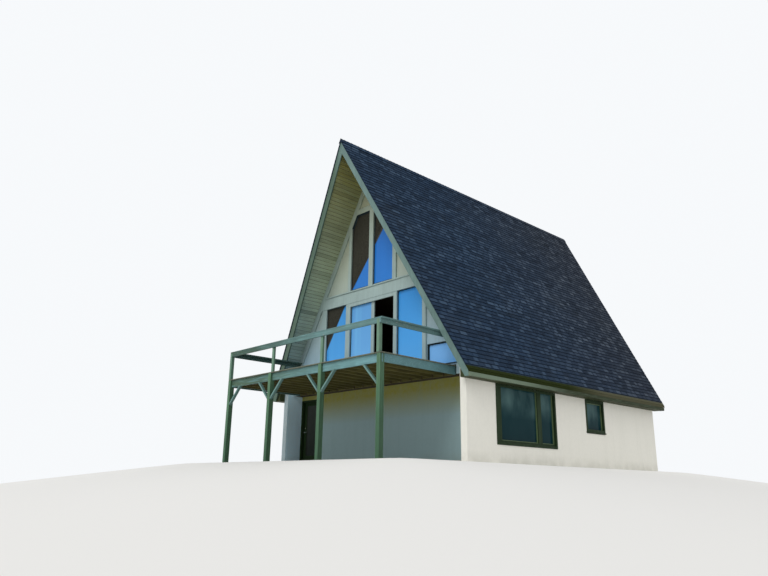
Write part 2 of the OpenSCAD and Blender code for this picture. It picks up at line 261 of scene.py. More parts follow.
def paintedWood(name, color, grain=(1, 1, 1), rough=0.55, wear=0.25, weather=0.12, sideShade=0.0, spec=None,
                low=None, high=None, shadeFade=None, boards=False):
    # Paint over sawn boards: faint grain along one axis, weathered blotches and chipped spots.
    # low and high are (height, colour) of the paint at its foot and top, with the main colour midway: they
    # paint light and shade by height.
    # shadeFade is (axis, from, to, colour): between the two places the paint turns to that colour, a painted
    # shade.
    # sideShade is painted shade: it darkens what doesn't look to the front.
    # boards reads each board's own tone from the 'tone' attribute.
    if spec is None:
        spec = paintShine["light"] if max(color) > paintShine["darkLimit"] else paintShine["dark"]
    p = Paint(name, color, rough, spec=spec)
    lines = p.noise(14, 6, 0.6, p.stretched(grain))
    blotch = p.noise(1.7, 5, 0.6)
    fine = p.noise(38, 4, 0.6, p.stretched(grain))
    hue = color
    if low:
        hue = p.ramp(p.along("Z", low[0], high[0]), [(0.0, low[1]), (0.5, color), (1.0, high[1])])
    if shadeFade:
        hue = p.mix(p.along(*shadeFade[:3]), hue, shadeFade[3])
    if sideShade:
        away = p.math("SUBTRACT", 1.0, p.looking("Y", -1.0))
        hue = p.mix(p.math("MULTIPLY", away, sideShade), hue, scaled(color, 0.25))
    darker = p.mix(1.0, hue, (0.74, 0.74, 0.74), "MULTIPLY")
    lighter = p.mix(1.0, hue, (1.16, 1.16, 1.16), "MULTIPLY")
    base = p.mix(p.ramp(blotch, [(0.35, 0.0), (0.65, 1.0)]), darker, lighter)
    base = p.mix(1 - weather * 3, base, hue)
    base = p.mix(p.ramp(lines, [(0.42, 0.0), (0.60, weather * 2.2)]), base, scaled(color, 0.6))
    base = p.mix(p.ramp(fine, [(0.50, 0.0), (0.72, weather * 1.6)]), base, scaled(color, 1.7))
    chips = p.ramp(p.noise(9, 8, 0.75), [(0.70 - wear * 0.1, 0.0), (0.74 - wear * 0.1, 0.75 * wear)])
    base = p.mix(chips, base, wornWood)
    if boards:
        own = p.add("ShaderNodeAttribute", attribute_name="tone").outputs["Fac"]
        base = p.mix(1.0, base, p.ramp(own, [(0.0, 0.60), (0.5, 0.98), (1.0, 1.0)]), "MULTIPLY")
    p.color(base)
    p.roughness(p.ramp(lines, [(0.3, rough - 0.08), (0.7, min(1, rough + 0.15))]))
    p.bump(lines, 0.35, 0.002)
    return p


# Scales that stretch the grain along one axis
alongX = (0.06, 1, 1)
alongY = (1, 0.06, 1)
alongZ = (1, 1, 0.06)

# Painted shade: the rakes' sides darker, and the left rake darker than the right.
rakeGreen = paintedWood("rakeGreen", (0.135, 0.222, 0.205), alongZ, sideShade=0.35,
                        shadeFade=("X", 0.10, -0.40, (0.068, 0.118, 0.078)))
# Painted shade: the eave boards turn darker towards the rear.
eaveGreen = paintedWood("eaveGreen", (0.158, 0.212, 0.150), alongY, wear=0.35, spec=0.12,
                        shadeFade=("Y", 1.8, 4.0, (0.018, 0.025, 0.004)))
# Dark paint for the shade under the eaves.
eaveShade = paintedWood("eaveShade", (0.040, 0.050, 0.020), alongY, wear=0.05)
# Painted shade: the rim's sides darker, and the rim darker towards the left.
rimGreen = paintedWood("rimGreen", (0.166, 0.338, 0.360), alongX, wear=0.55, weather=0.2, sideShade=0.52,
                       spec=0.2, shadeFade=("X", 3.0, -2.0, (0.066, 0.114, 0.068)))
# Painted shade: the posts' sides darker, and the posts darker towards their foot.
postGreen = paintedWood("postGreen", (0.066, 0.152, 0.084), alongZ, wear=0.35, weather=0.18, sideShade=0.50,
                        spec=0.25, low=(0.0, (0.044, 0.110, 0.060)), high=(2.4, (0.100, 0.205, 0.118)))
# Painted shade on the sides of the rail posts and braces.
railGreen = paintedWood("railGreen", (0.142, 0.262, 0.180), alongZ, wear=0.55, weather=0.2, sideShade=0.45)
braceGreen = paintedWood("braceGreen", (0.128, 0.250, 0.230), sideShade=0.45)
# Painted shade: the rails' sides darker, and the rails darker towards the left.
capGreen = paintedWood("capGreen", (0.126, 0.238, 0.234), alongX, wear=0.7, weather=0.22, sideShade=0.35,
                       spec=0.2, shadeFade=("X", 0.8, -2.0, (0.046, 0.085, 0.052)))
# Painted light: a sky-blue tint low on the gable and its trim, and shade under the overhang towards the top.
gableCream = paintedWood("gableCream", (0.372, 0.445, 0.395), alongZ, wear=0.05, weather=0.05,
                         low=(2.5, (0.275, 0.455, 0.600)), high=(7.6, (0.405, 0.425, 0.290)))
rearCream = paintedWood("rearCream", (0.372, 0.445, 0.380), alongZ, wear=0.05, weather=0.05)
trimPale = paintedWood("trimPale", (0.328, 0.425, 0.400), alongZ, wear=0.12, weather=0.08,
                       low=(2.5, (0.310, 0.430, 0.465)), high=(8.6, (0.372, 0.422, 0.315)))
# Painted light: the soffit boards sky-blue low down and darker in the shade towards the apex.
soffitCream = paintedWood("soffitCream", (0.455, 0.555, 0.400), alongY, wear=0.1, boards=True,
                          low=(2.2, (0.365, 0.530, 0.610)), high=(9.2, (0.325, 0.295, 0.075)))
frameDark = paintedWood("frameDark", (0.014, 0.032, 0.010), alongZ, wear=0.05)
# Dark paint for the shade in the window recesses, round their glass.
recessShade = paintedWood("recessShade", (0.024, 0.040, 0.046), alongZ, wear=0.0)
# Lighter than the frames, partly painted sunlight on the sash edges.
sashGreen = paintedWood("sashGreen", (0.095, 0.145, 0.060), alongZ, wear=0.1)


def makeBareWood(name, color, grain):
    # Sawn timber: long streaks of grain, dark patches.
    p = Paint(name, color, 0.8)
    streaks = p.noise(22, 7, 0.62, p.stretched(grain), 0.6)
    patches = p.noise(2.2, 4)
    base = p.ramp(streaks, [(0.3, scaled(color, 0.5)), (0.55, color), (0.75, scaled(color, 1.5))])
    base = p.mix(p.ramp(patches, [(0.4, 0.0), (0.7, 0.5)]), base, scaled(color, 0.55))
    p.color(base)
    p.bump(streaks, 0.5, 0.002)
    return p


underWood = makeBareWood("underWood", (0.112, 0.100, 0.024), alongY)
deckWood = makeBareWood("deckWood", (0.150, 0.165, 0.120), alongX)
roofWood = makeBareWood("roofWood", (0.050, 0.036, 0.022), alongY)

# Wall render: heights between which a wall turns to its top colour, painted warm light, and the dirt splashed
# up its foot
stuccoSet = {"warmLightFrom": 1.25, "warmLightTo": 2.02, "dirtHigh": 0.32, "dirtShare": 0.26, "dirt": (0.24, 0.24, 0.17)}


def makeStucco(name, color, streak=0.12, top=None, shade=None):
    # Hand-floated render: fine grains, slow waves, faint streaks that run down and dirt at the foot.
    # top is the colour of painted warm light towards the head of a wall. shade holds the colours of painted
    # shade and sky light on what looks to +X and on what looks to the front.
    p = Paint(name, color, 0.9, spec=0.25)
    grains = p.noise(160, 3, 0.6)
    waves = p.noise(3.0, 5, 0.5)
    trowel = p.noise(11.0, 4, 0.6)
    streaks = p.noise(3.5, 5, 0.6, p.stretched((1, 1, 0.12)))
    hue = color
    if top:
        hue = p.mix(p.along("Z", stuccoSet["warmLightFrom"], stuccoSet["warmLightTo"]), color, top)
    if shade:
        hue = p.mix(p.looking("X", 1.0), hue, shade[0])
        hue = p.mix(p.looking("Y", -1.0), hue, shade[1])
    runs = tuple(c * f for c, f in zip(color, (0.66, 0.68, 0.64)))
    base = p.mix(p.ramp(streaks, [(0.48, 0.0), (0.75, streak)]), hue, runs)
    base = p.mix(p.ramp(trowel, [(0.40, 0.10), (0.62, 0.0)]), base, scaled(color, 0.8))
    foot = p.ramp(p.axis("Z"), [(0.0, stuccoSet["dirtShare"]), (stuccoSet["dirtHigh"], 0.0)])
    splash = p.mix(foot, (0, 0, 0), p.ramp(waves, [(0.35, 0.2), (0.6, 1.0)]))
    p.color(p.mix(splash, base, stuccoSet["dirt"]))
    p.bump(p.math("ADD", grains, p.math("ADD", waves, trowel)), 0.6, 0.007)
    return p


limeWhite = (0.885, 0.870, 0.790)
wallStucco = makeStucco("wallStucco", limeWhite)
# Painted shade and sky light: the inner face blue-grey, the front end darker.
wingStucco = makeStucco("wingStucco", limeWhite, shade=((0.560, 0.780, 0.900), (0.330, 0.420, 0.450)))
# Painted shade, blue-grey under the deck, and painted warm light towards the head of the wall.
shadeStucco = makeStucco("shadeStucco", (0.300, 0.425, 0.440), 0.2, top=(0.280, 0.270, 0.062))
slabConcrete = makeStucco("slabConcrete", (0.34, 0.33, 0.30), 0.35)

# Roof covering: courses up the slope, each a strip with teeth on it. stripTop is how deep a strip's top lies
# under the roof's outer plane at its butt and its head, toothHead a tooth's at its head, and toothLift the most
# that a tooth's lies under that plane at its butt.
shingleSet = {"courses": 61, "thick": 0.012, "overlap": 1.05, "teeth": 120, "toothWide": (0.14, 0.32),
              "toothGap": (0.03, 0.11), "shortest": 0.03, "clear": 0.001, "shift": 0.2, "ridgeGap": 0.004,
              "stripTop": (0.0055, 0.0115), "stripSpread": 0.0008, "toothLift": 0.0012, "toothHead": 0.0105,
              "slip": 0.002, "seed": 11}
# Its colours: where painted sunlight turns the tabs grey along Y, and the drip edge over the eave, darker at
# the front and lighter to the rear
shingleLook = {"sunlitFrom": 2.5, "sunlitTo": 10.5, "edgeFrom": 0.070, "edgeTo": 0.100, "dripTurnFrom": 4.0,
               "dripTurnTo": 6.0, "dripFront": (0.020, 0.028, 0.006), "dripRear": (0.085, 0.084, 0.050)}


def makeShingle(s):
    # Mineral granules over asphalt. Each tab has its own tone from the 'tone' attribute, and each course has a
    # painted shadow towards its head, under the next one. How far up a course a point lies is what follows the
    # decimal point of (height over the eave) / (a course's height).
    p = Paint("shingleGranules", (0.012, 0.032, 0.068), 0.92, spec=0.05)
    tone = p.add("ShaderNodeAttribute", attribute_name="tone").outputs["Fac"]
    grain = p.noise(420, 2, 0.7)
    drift = p.noise(0.8, 5, 0.6)
    blue = [(0.0, (0.005, 0.012, 0.027)), (0.5, (0.017, 0.036, 0.072)), (1.0, (0.048, 0.082, 0.135))]
    grey = [(0.0, (0.016, 0.015, 0.015)), (0.5, (0.045, 0.043, 0.042)), (1.0, (0.120, 0.115, 0.108))]
    base = p.ramp(tone, blue)
    base = p.mix(p.ramp(grain, [(0.42, 0.0), (0.78, 0.42)]), base, (0.080, 0.125, 0.180))
    base = p.mix(p.ramp(drift, [(0.50, 0.0), (0.75, 0.22)]), base, (0.052, 0.064, 0.074))
    # Painted sunlight: the tabs turn towards a sunlit grey to the rear.
    sunlitRear = p.ramp(p.along("Y", s["sunlitFrom"], s["sunlitTo"]), [(0.0, 0.0), (1.0, 0.5)])
    base = p.mix(sunlitRear, base, p.ramp(tone, grey))
    rise = slopeLength / shingleSet["courses"] * sinA
    share = p.math("FRACT", p.math("DIVIDE", p.math("SUBTRACT", p.axis("Z"), house["eaveTop"]), rise))
    shadow = p.ramp(share, [(0.0, 0.10), (0.10, 0.0), (0.70, 0.0), (0.86, 0.80), (1.0, 0.85)])
    base = p.mix(shadow, base, (0.004, 0.008, 0.015))
    edge = p.along("Z", house["eaveTop"] + s["edgeFrom"], house["eaveTop"] + s["edgeTo"])
    # The drip edge is darker at the front and lighter to the rear.
    drip = p.mix(p.along("Y", s["dripTurnFrom"], s["dripTurnTo"]), s["dripFront"], s["dripRear"])
    p.color(p.mix(edge, drip, base))
    p.bump(grain, 0.6, 0.002)
    return p


shingle = makeShingle(shingleLook)


def makePane(name, stops, corner=(), streak=0.12, glints=None, spec=0.16, bright=None):
    # Glass painted with what it reflects, with faint streaks. stops are (height, colour) from the bottom up.
    # corner holds painted dark reflections and shade as (x, z, nx, nz, width, shade): what lies past the line
    # through (x, z) on the side of its normal (nx, nz). bright is (x, colour) of a brighter painted reflection
    # beyond that x. glints is the colour of soft painted reflections in the upper half.
    p = Paint(name, stops[-1][1], 0.05, spec=spec)
    low, high = stops[0][0], stops[-1][0]
    z = p.along("Z", low, high)
    base = p.ramp(z, [((at - low) / (high - low), c) for at, c in stops])
    lines = p.noise(4, 3, 0.5, p.stretched((1, 1, 0.03)))
    base = p.mix(p.ramp(lines, [(0.5, 0.0), (0.8, streak)]), base, scaled(stops[0][1], 1.3))
    if glints:
        patch = p.ramp(p.noise(2.2, 3, 0.5, p.stretched((1, 1, 0.45)), 0.2), [(0.32, 0.0), (0.70, 0.85)])
        base = p.mix(p.math("MULTIPLY", p.ramp(z, [(0.45, 0.06), (0.70, 1.0)]), patch), base, glints)
    if bright:
        base = p.mix(p.math("GREATER_THAN", p.axis("X"), bright[0]), base, bright[1])
    for x, zz, nx, nz, width, shade in corner:
        side = p.math("ADD", p.math("MULTIPLY", p.axis("X"), nx), p.math("MULTIPLY", p.axis("Z"), nz))
        side = p.math("SUBTRACT", side, x * nx + zz * nz)
        veil = p.noise(30, 2, 0.5, p.stretched((0.6, 1, 1), turn=(0, 0.35, 0)))
        tint = p.mix(p.ramp(veil, [(0.35, 0.0), (0.65, 1.0)]), scaled(shade, 0.8), scaled(shade, 1.25))
        past = p.math("ADD", p.math("DIVIDE", side, width), 0.5)
        base = p.mix(p.ramp(past, [(0.0, 0.0), (1.0, 1.0)]), base, tint)
    p.color(base)
    return p


def makeMetal(name, color, rough=0.35):
    # One colour, its roughness varied by slow blotches.
    p = Paint(name, color, rough, 1.0)
    p.roughness(p.ramp(p.noise(40, 4), [(0.3, rough - 0.1), (0.7, rough + 0.15)]))
    return p


leverMetal = makeMetal("leverMetal", (0.55, 0.55, 0.53))
zincMetal = makeMetal("zincMetal", (0.42, 0.43, 0.43), 0.5)
dullSteel = makeMetal("dullSteel", (0.200, 0.165, 0.095), 0.8)

# Painted reflection of the overhang, dark where it stands before the sky in the panes.
dim = (0.040, 0.038, 0.030)  # panes where the overhang stands before the sky
edgeBlur = 0.03  # metres over which the edge of a dim corner is soft


def overhangReflection(x0, z0, x1, z1):
    # What lies to the left of a line through two points. The normal is the line's direction turned by 90
    # degrees, and it looks to the left.
    n = Vector((-(z1 - z0), x1 - x0)).normalized()
    if n.x > 0:
        n = -n
    return x1, z1, n.x, n.y, edgeBlur, dim


# Painted reflections: the overhang's dark corners, and a brighter part past x = 2.35.
frontPane = makePane("frontPane", [(2.56, (0.110, 0.460, 0.960)), (3.4, (0.075, 0.390, 0.880)),
                                   (4.2, (0.055, 0.325, 0.760)), (4.95, (0.035, 0.270, 0.680))],
                     [overhangReflection(-2.125, 3.545, -1.331, 4.808)], bright=(2.35, (0.200, 0.500, 0.950)))
upperPane = makePane("upperPane", [(5.3, (0.024, 0.195, 0.610)), (7.85, (0.012, 0.140, 0.520))],
                     [overhangReflection(-0.937, 5.364, -0.179, 6.294), overhangReflection(0.156, 6.844, 0.514, 7.215)])
# The dark strip at the left edge of the patio glass is painted shade of its recess.
patioPane = makePane("patioPane", [(2.6, (0.180, 0.540, 0.990)), (3.6, (0.140, 0.425, 0.840)),
                                   (4.8, (0.110, 0.340, 0.680))],
                     [(-0.900, 3.7, -1.0, 0.0, 0.02, (0.010, 0.020, 0.030))], streak=0.25)
# Painted reflections: soft glints in the upper half of the side panes.
sidePane = makePane("sidePane", [(0.5, (0.002, 0.022, 0.028)), (2.05, (0.006, 0.040, 0.048))],
                    glints=(0.085, 0.165, 0.165), spec=0.04)
doorPane = makePane("doorPane", [(0.2, (0.020, 0.024, 0.020)), (2.05, (0.045, 0.050, 0.042))])

finish = {
    "floor_slab": slabConcrete, "left_wall": wingStucco, "right_wall": wallStucco, "rear_wall": wallStucco,
    "front_wall": shadeStucco, "door_head_wall": shadeStucco,
    "door_frame": frameDark, "ground_door": frameDark, "ground_door_glass": doorPane,
    "door_hardware": leverMetal,
    "side_window_frame": frameDark, "side_window_glass": sidePane,
    "small_window_frame": frameDark, "small_window_glass": sidePane,
    "main_floor": roofWood, "loft_floor": roofWood, "left_roof": roofWood, "right_roof": roofWood,
    "left_shingles": shingle, "right_shingles": shingle, "ridge_cap": shingle,
    "front_rake_boards": rakeGreen, "rear_rake_boards": rakeGreen,
    "eave_boards": eaveGreen, "eave_soffits": eaveShade,
    "front_gable": gableCream, "rear_gable": rearCream, "gable_trim": trimPale,
    "upper_window_frame": recessShade, "upper_window_glass": upperPane,
    "front_window_frame": recessShade, "front_window_glass": frontPane, "patio_door_frame": trimPale,
    "fixed_door_panel": trimPale, "sliding_door_panel": trimPale, "patio_door_glass": patioPane,
    "deck_joists": underWood, "deck_rim": rimGreen, "deck_boards": deckWood, "deck_posts": postGreen,
    "knee_braces": braceGreen, "rail_posts": railGreen, "rail_boards": capGreen, "rail_caps": capGreen,
}
for name, obj in nodes.items():
    if name in finish:
        obj.data.materials.clear()
        obj.data.materials.append(finish[name].mat)
print("cabin: materials")


# Mesh makers
def buildMesh(name, verts, faceGroups, paint, body="house", tone=None, smooth=False):
    # One mesh from whole arrays. faceGroups are arrays of corner numbers, and tone is one number per face.
    faceGroups = [np.asarray(f, np.int32) for f in faceGroups if len(f)]
    verts = np.asarray(verts, np.float32)
    loops = np.concatenate([f.ravel() for f in faceGroups])
    sizes = np.concatenate([np.full(len(f), f.shape[1]) for f in faceGroups])
    starts = np.concatenate([[0], np.cumsum(sizes)[:-1]]).astype(np.int32)
    mesh = bpy.data.meshes.new(name)
    mesh.vertices.add(len(verts))
    mesh.vertices.foreach_set("co", verts.ravel())
    mesh.loops.add(len(loops))
    mesh.loops.foreach_set("vertex_index", loops)
    mesh.polygons.add(len(sizes))
    mesh.polygons.foreach_set("loop_start", starts)
    mesh.update(calc_edges=True)
    if tone is not None:
        own = mesh.attributes.new("tone", "FLOAT", "FACE")
        own.data.foreach_set("value", np.asarray(tone, np.float32))
    bm = bmesh.new()
    bm.from_mesh(mesh)
    bmesh.ops.recalc_face_normals(bm, faces=bm.faces)
    bm.to_mesh(mesh)
    bm.free()
    mesh.polygons.foreach_set("use_smooth", np.full(len(sizes), smooth))
    mesh.materials.append(paint.mat)
    obj = bpy.data.objects.new(name, mesh)
    bpy.context.collection.objects.link(obj)
    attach(obj, body)
    return obj


cube6 = np.array([[0, 1, 2, 3], [0, 4, 5, 1], [3, 7, 4, 0], [1, 5, 6, 2], [2, 6, 7, 3], [4, 7, 6, 5]])


def numbered(count, step, faces):
    # The same faces for each of count shapes. The corner numbers of one shape are step above the last one's.
    faces = np.asarray(faces)
    return ((np.arange(count) * step)[:, None, None] + faces[None]).reshape(-1, faces.shape[1])


def slopePoint(side, down, y, deep):
    # Point on a roof slope: down metres from the ridge line, deep metres under the shingles' outer plane.
    down, y, deep = np.broadcast_arrays(down, y, deep)
    return np.stack([side * (down * cosA - deep * sinA), y, house["ridge"] - down * sinA - deep * cosA], -1)


def slopeCorners(side, deep):
    # The four corners of a slope's plane, deep metres under the outer one: at the eave front and rear, at the
    # ridge rear and front.
    low, high = house["eaveTop"], house["ridge"]
    eave, drop = side * house["eaveHalf"], deep / cosA
    return np.array([(eave, frontRake(low), low - drop), (eave, rearRake(low), low - drop),
                     (0, rearRake(high), high - drop), (0, frontRake(high), high - drop)])


def wedges(side, downLow, downHigh, lowY, highY, topLow, topHigh, under):
    # Tapered tabs on a slope, as arrays: each butt at downLow between the two of lowY, each head at downHigh
    # between the two of highY. The tops lie topLow and topHigh under the outer plane, the undersides under.
    butt = [(downLow, lowY[0]), (downLow, lowY[1])]
    head = [(downHigh, highY[1]), (downHigh, highY[0])]
    top = [slopePoint(side, d, y, topLow) for d, y in butt]
    top += [slopePoint(side, d, y, topHigh) for d, y in head]
    low = [slopePoint(side, d, y, under) for d, y in butt + head]
    v = np.stack(top + low, 1)
    return v.reshape(-1, 3), numbered(len(v), 8, cube6)


def joined(parts):
    # Several (verts, faces) made one.
    verts, faces, at = [], [], 0
    for v, f in parts:
        verts.append(v)
        faces.append(np.asarray(f) + at)
        at += len(v)
    return np.concatenate(verts), np.concatenate(faces)


def coverSlope(side, s):
    # A base layer, then courses of thin strips, each with thicker teeth of random width, as on laminated
    # shingles.
    rng = np.random.default_rng(s["seed"] + side)
    step = slopeLength / s["courses"]
    base = np.concatenate([slopeCorners(side, s["thick"]), slopeCorners(side, house["shingle"])])
    parts, tones = [(base, cube6)], [np.full(6, 0.15)]
    low = slopeLength - np.arange(s["courses"]) * step
    high = np.maximum(low - step * s["overlap"], s["ridgeGap"])
    zl, zh = house["ridge"] - low * sinA, house["ridge"] - high * sinA
    jitter = rng.normal(0, s["stripSpread"], len(low))
    parts.append(wedges(side, low, high, (frontRake(zl), rearRake(zl)), (frontRake(zh), rearRake(zh)),
                        s["stripTop"][0] + jitter, s["stripTop"][1], s["thick"]))
    tones.append(np.repeat(rng.uniform(0.16, 0.34, len(low)), 6))
    for i in range(s["courses"]):
        wide = rng.uniform(*s["toothWide"], s["teeth"])
        gap = rng.uniform(*s["toothGap"], s["teeth"])
        steps = np.concatenate([[0], np.cumsum(wide + gap)[:-1]])
        start = frontRake(zl[i]) - rng.uniform(0, s["shift"]) + steps
        a = np.maximum(start, frontRake(zl[i]) + s["clear"])
        b = np.minimum(start + wide, rearRake(zl[i]) - s["clear"])
        keep = b - a > s["shortest"]
        a, b = a[keep], b[keep]
        aa = np.maximum(a, frontRake(zh[i]) + s["clear"])
        bb = np.minimum(b, rearRake(zh[i]) - s["clear"])
        lift = rng.uniform(0, s["toothLift"], len(a))
        slip = rng.normal(0, s["slip"], len(a))
        butt = np.minimum(low[i] + slip, slopeLength)
        parts.append(wedges(side, butt, high[i], (a, b), (aa, bb), lift, s["toothHead"], s["thick"]))
        tones.append(np.repeat(np.clip(rng.beta(2.2, 2.6, len(a)) + rng.normal(0, 0.04), 0, 1), 6))
    name = "rightShingles" if side > 0 else "leftShingles"
    verts, faces = joined(parts)
    obj = buildMesh(name, verts, [faces], shingle, tone=np.concatenate(tones))
    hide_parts("right_shingles" if side > 0 else "left_shingles")


coverSlope(1, shingleSet)
coverSlope(-1, shingleSet)
print("cabin: shingles")


# More makers
def section(w, d, cut):
    # Corners of a rectangle w by d with its corners cut, one row per bar, counter-clockwise.
    a, b, c = w / 2, d / 2, cut
    corners = ((a, c - b), (a, b - c), (a - c, b), (c - a, b),
               (-a, b - c), (-a, c - b), (c - a, -b), (a - c, -b))
    return np.stack([np.stack(q, -1) for q in corners], 1)


def bars(start, end, side, wide, deep, cut=0.004):
    # Straight boards: a cut-cornered section carried from start to end. Its first and last rings are drawn in
    # by the cut.
    start, end, side = (np.atleast_2d(np.asarray(v, float)) for v in (start, end, side))
    start, end, side = np.broadcast_arrays(start, end, side)
    n = len(start)
    wide, deep = np.broadcast_to(np.asarray(wide, float), n), np.broadcast_to(np.asarray(deep, float), n)
    run = np.linalg.norm(end - start, axis=1)
    axis = (end - start) / run[:, None]
    third = np.cross(axis, side)
    full = section(wide, deep, np.full(n, cut))
    small = section(wide - 2 * cut, deep - 2 * cut, np.full(n, cut * 0.5))
    rings = []
    for shape, at in ((small, 0 * run), (full, 0 * run + cut), (full, run - cut), (small, run)):
        middle = start[:, None] + axis[:, None] * at[:, None, None]
        rings.append(middle + side[:, None] * shape[..., :1] + third[:, None] * shape[..., 1:])
    v = np.stack(rings, 1).reshape(-1, 3)
    i = np.arange(8)
    j = (i + 1) % 8
    low = 8 * np.arange(3)[:, None]  # first number of each ring that has another one after it
    ring = np.stack([low + i, low + j, low + 8 + j, low + 8 + i], -1).reshape(-1, 4)
    return v, numbered(n, 32, ring), numbered(n, 32, np.stack([i[::-1], 24 + i]))


def makeBars(name, paint, slotName, *args, body="house", **more):
    v, quads, ends = bars(*args, **more)
    obj = buildMesh(name, v, [quads, ends], paint, body)
    return obj


def domes(centre, axis, radius, height, sides=10, rings=4):
    # Round heads: radius times cos and height times sin over a quarter turn, closed with a flat back.
    centre = np.atleast_2d(np.asarray(centre, float))
    axis = np.asarray(axis, float) / np.linalg.norm(axis)
    other = np.array([0.0, 0.0, 1.0]) if abs(axis[2]) < 0.9 else np.array([1.0, 0.0, 0.0])
    u = np.cross(axis, other)
    u /= np.linalg.norm(u)
    w = np.cross(axis, u)
    turn = np.arange(sides) / sides * 2 * math.pi
    lift = np.linspace(0, math.pi / 2, rings + 1)[:-1, None, None]
    spin = np.cos(turn)[:, None] * u + np.sin(turn)[:, None] * w
    shape = radius * np.cos(lift) * spin[None] + height * np.sin(lift) * axis
    shape = np.concatenate([shape.reshape(-1, 3), (axis * height)[None], (axis * 0)[None]])
    i = np.arange(sides)
    j = (i + 1) % sides
    tip, flat = rings * sides, rings * sides + 1
    quads = [np.stack([k * sides + i, k * sides + j, (k + 1) * sides + j, (k + 1) * sides + i], -1)
             for k in range(rings - 1)]
    top = np.stack([tip - sides + i, tip - sides + j, np.full(sides, tip)], -1)
    back = np.stack([j, i, np.full(sides, flat)], -1)
    n, k = len(centre), len(shape)
    v = (centre[:, None] + shape[None]).reshape(-1, 3)
    return v, numbered(n, k, np.concatenate(quads)), numbered(n, k, np.concatenate([top, back]))


def makeHeads(name, paint, slotName, centre, axis, radius, height, body="house", **more):
    v, quads, tris = domes(centre, axis, radius, height, **more)
    obj = buildMesh(name, v, [quads, tris], paint, body, smooth=True)


def mitred(outline, profile, place):
    # A profile carried round a closed outline: each corner moves in along (the sum of its two edges' inner
    # normals) / (1 + their dot product). profile is (inset, depth), and place makes (a, b, depth) a point.
    q = np.asarray(outline, float)
    ahead, behind = np.roll(q, -1, 0) - q, q - np.roll(q, 1, 0)
    ahead /= np.linalg.norm(ahead, axis=1)[:, None]
    behind /= np.linalg.norm(behind, axis=1)[:, None]
    inA, inB = np.stack([-ahead[:, 1], ahead[:, 0]], -1), np.stack([-behind[:, 1], behind[:, 0]], -1)
    miter = (inA + inB) / (1 + np.sum(inA * inB, 1))[:, None]
    f = np.asarray(profile, float)
    ab = q[:, None] + miter[:, None] * f[None, :, :1]
    v = place(ab[..., 0], ab[..., 1], np.broadcast_to(f[None, :, 1], ab.shape[:2])).reshape(-1, 3)
    n, k = len(q), len(f)
    i, j = np.meshgrid(np.arange(n), np.arange(k), indexing="ij")
    onI, onJ = (i + 1) % n, (j + 1) % k
    return v, np.stack([i * k + j, onI * k + j, onI * k + onJ, i * k + onJ], -1).reshape(-1, 4)


def onFront(a, b, depth):  # on the gable's face: across, up, into the wall
    return np.stack([a, depth, b], -1)


def onRight(a, b, depth):  # on the right wall's face: along, up, into the wall
    return np.stack([house["wallX"] - depth, a, b], -1)


def makeRings(name, paint, outlines, profile, place, body="house"):
    v, f = joined([mitred(o, profile, place) for o in outlines])
    obj = buildMesh(name, v, [f], paint, body)


def flipped(outline):
    # The same outline on the other side of the centreline, still counter-clockwise.
    return [(-x, z) for x, z in reversed(outline)]


def rectangle(a0, a1, b0, b1):
    return [(a0, b0), (a1, b0), (a1, b1), (a0, b1)]


# Ridge caps
capSet = {"pitch": 0.143, "wing": 0.155, "overlap": 1.08, "front": 0.0118, "thinner": 0.0015, "back": 0.0045,
          "under": 0.0005, "seed": 5}


def makeCaps(c):
    # Bent cap shingles: two wings over the ridge, thick at the front end, which lies over the tail of the cap
    # before it.
    rng = np.random.default_rng(c["seed"])
    y0, y1 = frontRake(house["ridge"]), rearRake(house["ridge"])
    n = int((y1 - y0) / c["pitch"])
    a = y0 + np.arange(n) * (y1 - y0) / n
    b = np.minimum(a + (y1 - y0) / n * c["overlap"], y1)

    def ring(y, lift):  # left wing, ridge, right wing
        lift = np.broadcast_to(lift, y.shape)
        wing = np.full(n, c["wing"])
        top = house["ridge"] + lift / cosA
        return [slopePoint(-1, wing, y, -lift), np.stack([0 * y, y, top], -1), slopePoint(1, wing, y, -lift)]

    front = c["front"] - rng.uniform(0, c["thinner"], n)
    v = np.stack(ring(a, front) + ring(a, c["under"]) + ring(b, c["back"]) + ring(b, c["under"]), 1)
    f = [[0, 1, 7, 6], [1, 2, 8, 7], [3, 9, 10, 4], [4, 10, 11, 5], [0, 6, 9, 3], [2, 5, 11, 8],
         [0, 3, 4, 1], [1, 4, 5, 2], [6, 7, 10, 9], [7, 8, 11, 10]]
    obj = buildMesh("ridgeCaps", v.reshape(-1, 3), [numbered(n, 12, f)], shingle,
                    tone=np.repeat(rng.uniform(0.25, 0.8, n), len(f)))
    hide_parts("ridge_cap")


makeCaps(capSet)

# Boards under the two overhangs. rakeBack is how far inside the rakes' planes they end, behind the rake
# boards, and trimFace how far from the gables, just clear of the trim. Below the floor they end at the ends of
# the walls or, where they pass over the boards that close the eave, at those.
soffitSet = {"pitch": 0.1150, "gap": 0.009, "thick": 0.013, "groove": 0.008, "bead": 0.007, "lowest": 2.10,
             "rakeBack": 0.046, "trimFace": 0.0465, "wallFront": -0.256, "wallGap": 0.002, "overWall": 0.035,
             "closingFront": -0.447, "closingRear": 9.985, "shortest": 0.05, "seed": 23}


